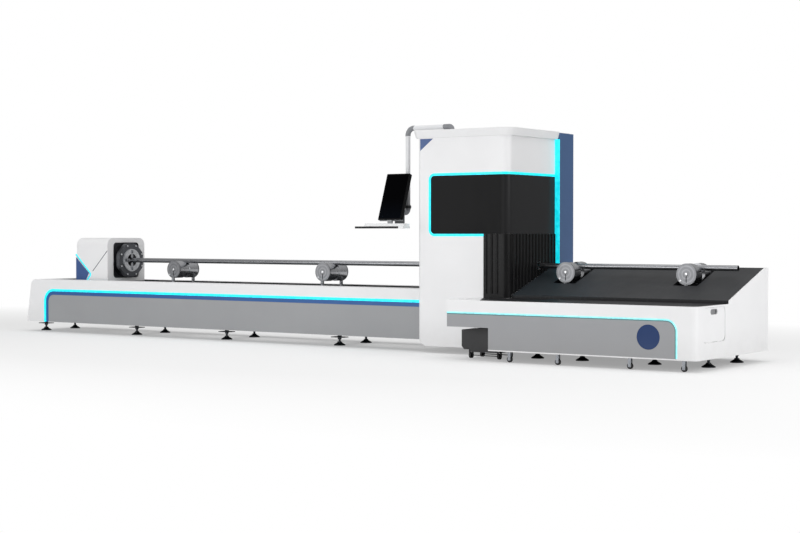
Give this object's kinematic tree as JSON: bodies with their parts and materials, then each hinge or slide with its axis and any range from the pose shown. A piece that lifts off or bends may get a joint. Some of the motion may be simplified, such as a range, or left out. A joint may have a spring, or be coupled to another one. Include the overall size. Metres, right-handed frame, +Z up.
{
  "type": "fiber laser tube cutting machine",
  "caption": "Long tube laser cutter: feed bed with driven chuck carriage and drum supports, tall cutting cabinet with lit window, sloped outfeed bed and a swinging operator screen.",
  "frame": {"origin": "floor point under the centre of the bounding box", "axes": "+X from the feed end to the outfeed end, +Y from the operator side to the back, +Z up"},
  "size_m": [8.9, 1.75, 2.218],
  "materials": {
    "white_paint": "satin powder coat",
    "grey_paint": "satin powder coat",
    "dark_paint": "semi-gloss powder coat",
    "navy_paint": "satin powder coat",
    "lit_cyan": "lit diffuser strip, emissive",
    "machined_steel": "machined",
    "ground_steel": "ground",
    "dark_steel": "machined and blacked",
    "tube_steel": "drawn",
    "light_alloy": "machined",
    "window_glass": "dark laser-safe glazing",
    "wheel_rubber": "satin",
    "dark_plastic": "fine texture",
    "light_plastic": "fine texture",
    "motor_black": "satin"
  },
  "bodies": {
    "machine": {"feed_front_casing": "white_paint", "feed_light_strip": "lit_cyan", "feed_grey_panel": "grey_paint", "feed_rear_casing": "white_paint", "feed_bed_frame": "grey_paint", "guide_rails": "ground_steel", "feed_levelling_feet": "machined_steel", "cabinet_casing": "white_paint", "cabinet_rear_panel": "white_paint", "cabinet_roof": "white_paint", "window_glass": "window_glass", "cabinet_light_strip": "lit_cyan", "fluted_guard": "dark_paint", "fin_post": "navy_paint", "cabinet_frame": "grey_paint", "front_chuck_housing": "dark_steel", "outfeed_casing": "white_paint", "outfeed_grey_panel": "grey_paint", "outfeed_rear_panel": "white_paint", "front_deck": "dark_paint", "slope_deck": "dark_paint", "outfeed_frame": "grey_paint", "outfeed_levelling_feet": "machined_steel", "lift_guides": "machined_steel", "caster_forks": "machined_steel"},
    "carriage": {"carriage_saddle": "machined_steel", "carriage_motor": "motor_black", "headstock_shell": "white_paint", "rear_chuck_housing": "dark_steel"},
    "rear_chuck": {"rear_chuck_disc": "dark_steel", "tube": "tube_steel"},
    "front_chuck": {"front_chuck_disc": "dark_steel"},
    "head_saddle": {"head_saddle": "light_alloy"},
    "laser_head": {"laser_head": "light_alloy"},
    "end_door": {"end_door": "grey_paint"},
    "arm": {"arm_pipe": "white_paint"},
    "console": {"console_bracket": "dark_paint", "keyboard": "light_plastic"},
    "monitor": {"monitor": "dark_plastic"},
    "scrap_bin": {"scrap_bin": "white_paint"},
    "rear_jaw_1": {"rear_jaw_1": "ground_steel"},
    "support_1": {"support_1": "dark_paint"},
    "drum_1": {"drum_1": "light_alloy"},
    "caster_wheel_1": {"caster_wheel_1": "wheel_rubber"},
    "rear_jaw_2": {"rear_jaw_2": "ground_steel"},
    "support_2": {"support_2": "dark_paint"},
    "drum_2": {"drum_2": "light_alloy"},
    "caster_wheel_2": {"caster_wheel_2": "wheel_rubber"},
    "rear_jaw_3": {"rear_jaw_3": "ground_steel"},
    "support_3": {"support_3": "dark_paint"},
    "drum_3": {"drum_3": "light_alloy"},
    "caster_wheel_3": {"caster_wheel_3": "wheel_rubber"},
    "rear_jaw_4": {"rear_jaw_4": "ground_steel"},
    "support_4": {"support_4": "dark_paint"},
    "drum_4": {"drum_4": "light_alloy"},
    "caster_wheel_4": {"caster_wheel_4": "wheel_rubber"},
    "front_jaw_1": {"front_jaw_1": "ground_steel"},
    "bin_wheels_1": {"bin_wheels_1": "wheel_rubber"},
    "front_jaw_2": {"front_jaw_2": "ground_steel"},
    "bin_wheels_2": {"bin_wheels_2": "wheel_rubber"}
  },
  "joints": [
    {"name": "carriage_feed", "type": "slide", "parent": "machine", "child": "carriage", "axis": [1, 0, 0], "range_m": [-0.3, 0.65]},
    {"name": "rear_chuck_spin", "type": "hinge", "parent": "carriage", "child": "rear_chuck", "pos_m": [-3.25, 0.285, 0.845], "axis": [1, 0, 0], "continuous": true},
    {"name": "rear_jaw_slide_1", "type": "slide", "parent": "rear_chuck", "child": "rear_jaw_1", "axis": [0, 1, 0], "range_m": [0, 0.03]},
    {"name": "rear_jaw_slide_2", "type": "slide", "parent": "rear_chuck", "child": "rear_jaw_2", "axis": [0, 0, 1], "range_m": [0, 0.03]},
    {"name": "rear_jaw_slide_3", "type": "slide", "parent": "rear_chuck", "child": "rear_jaw_3", "axis": [0, -1, 0], "range_m": [0, 0.03]},
    {"name": "rear_jaw_slide_4", "type": "slide", "parent": "rear_chuck", "child": "rear_jaw_4", "axis": [0, 0, -1], "range_m": [0, 0.03]},
    {"name": "front_chuck_spin", "type": "hinge", "parent": "machine", "child": "front_chuck", "pos_m": [1.6, 0.285, 0.845], "axis": [1, 0, 0], "continuous": true},
    {"name": "front_jaw_slide_1", "type": "slide", "parent": "front_chuck", "child": "front_jaw_1", "axis": [0, 1, 0], "range_m": [0, 0.03]},
    {"name": "front_jaw_slide_2", "type": "slide", "parent": "front_chuck", "child": "front_jaw_2", "axis": [0, -1, 0], "range_m": [0, 0.03]},
    {"name": "head_cross", "type": "slide", "parent": "machine", "child": "head_saddle", "axis": [0, 1, 0], "range_m": [-0.3, 0.4]},
    {"name": "head_lift", "type": "slide", "parent": "head_saddle", "child": "laser_head", "axis": [0, 0, 1], "range_m": [-0.035, 0.25]},
    {"name": "support_lift_1", "type": "slide", "parent": "machine", "child": "support_1", "axis": [0, 0, 1], "range_m": [-0.25, 0]},
    {"name": "drum_turn_1", "type": "hinge", "parent": "support_1", "child": "drum_1", "pos_m": [-2.39, 0.285, 0.75028], "axis": [0, 1, 0], "range_deg": [0, 170]},
    {"name": "support_lift_2", "type": "slide", "parent": "machine", "child": "support_2", "axis": [0, 0, 1], "range_m": [-0.25, 0]},
    {"name": "drum_turn_2", "type": "hinge", "parent": "support_2", "child": "drum_2", "pos_m": [-0.25, 0.285, 0.75028], "axis": [0, 1, 0], "range_deg": [0, 170]},
    {"name": "support_lift_3", "type": "slide", "parent": "machine", "child": "support_3", "axis": [0, 0, 1], "range_m": [-0.25, 0]},
    {"name": "drum_turn_3", "type": "hinge", "parent": "support_3", "child": "drum_3", "pos_m": [2.658, 0.285, 0.78828], "axis": [0, 1, 0], "range_deg": [0, 35]},
    {"name": "support_lift_4", "type": "slide", "parent": "machine", "child": "support_4", "axis": [0, 0, 1], "range_m": [-0.25, 0]},
    {"name": "drum_turn_4", "type": "hinge", "parent": "support_4", "child": "drum_4", "pos_m": [3.892, 0.285, 0.78828], "axis": [0, 1, 0], "range_deg": [0, 35]},
    {"name": "end_door_hinge", "type": "hinge", "parent": "machine", "child": "end_door", "pos_m": [4.446, -0.5245, 0.241], "axis": [0, 1, 0], "range_deg": [0, 90]},
    {"name": "arm_swing", "type": "hinge", "parent": "machine", "child": "arm", "pos_m": [1.54, -0.125, 2.164], "axis": [0, 0, 1], "range_deg": [-40, 90]},
    {"name": "console_pan", "type": "hinge", "parent": "arm", "child": "console", "pos_m": [1.021, -0.125, 1.44], "axis": [0, 0, 1], "range_deg": [-60, 0]},
    {"name": "monitor_tilt", "type": "hinge", "parent": "console", "child": "monitor", "pos_m": [0.971, -0.23786, 1.4968], "axis": [1, 0, 0], "range_deg": [-5, 12]},
    {"name": "caster_spin_1", "type": "hinge", "parent": "machine", "child": "caster_wheel_1", "pos_m": [2.629, -0.838, 0.0295], "axis": [0, 1, 0], "continuous": true},
    {"name": "caster_spin_2", "type": "hinge", "parent": "machine", "child": "caster_wheel_2", "pos_m": [3.121, -0.838, 0.0295], "axis": [0, 1, 0], "continuous": true},
    {"name": "caster_spin_3", "type": "hinge", "parent": "machine", "child": "caster_wheel_3", "pos_m": [3.822, -0.838, 0.0295], "axis": [0, 1, 0], "continuous": true},
    {"name": "caster_spin_4", "type": "hinge", "parent": "machine", "child": "caster_wheel_4", "pos_m": [4.322, -0.838, 0.0295], "axis": [0, 1, 0], "continuous": true},
    {"name": "bin_roll", "type": "slide", "parent": "machine", "child": "scrap_bin", "axis": [0, -1, 0], "range_m": [0, 0.6]},
    {"name": "bin_wheel_spin_1", "type": "hinge", "parent": "scrap_bin", "child": "bin_wheels_1", "pos_m": [2.222, -0.6, 0.0275], "axis": [1, 0, 0], "range_deg": [0, 1300]},
    {"name": "bin_wheel_spin_2", "type": "hinge", "parent": "scrap_bin", "child": "bin_wheels_2", "pos_m": [2.222, -0.405, 0.0275], "axis": [1, 0, 0], "range_deg": [0, 1300]}
  ],
  "couplings": [
    {"joint": "rear_jaw_slide_2", "follows": "rear_jaw_slide_1", "ratio": 1},
    {"joint": "rear_jaw_slide_3", "follows": "rear_jaw_slide_1", "ratio": 1},
    {"joint": "rear_jaw_slide_4", "follows": "rear_jaw_slide_1", "ratio": 1},
    {"joint": "front_chuck_spin", "follows": "rear_chuck_spin", "ratio": 1},
    {"joint": "front_jaw_slide_2", "follows": "front_jaw_slide_1", "ratio": 1},
    {"joint": "bin_wheel_spin_1", "follows": "bin_roll", "rad_per_m": 36.364},
    {"joint": "bin_wheel_spin_2", "follows": "bin_roll", "rad_per_m": 36.364}
  ]
}
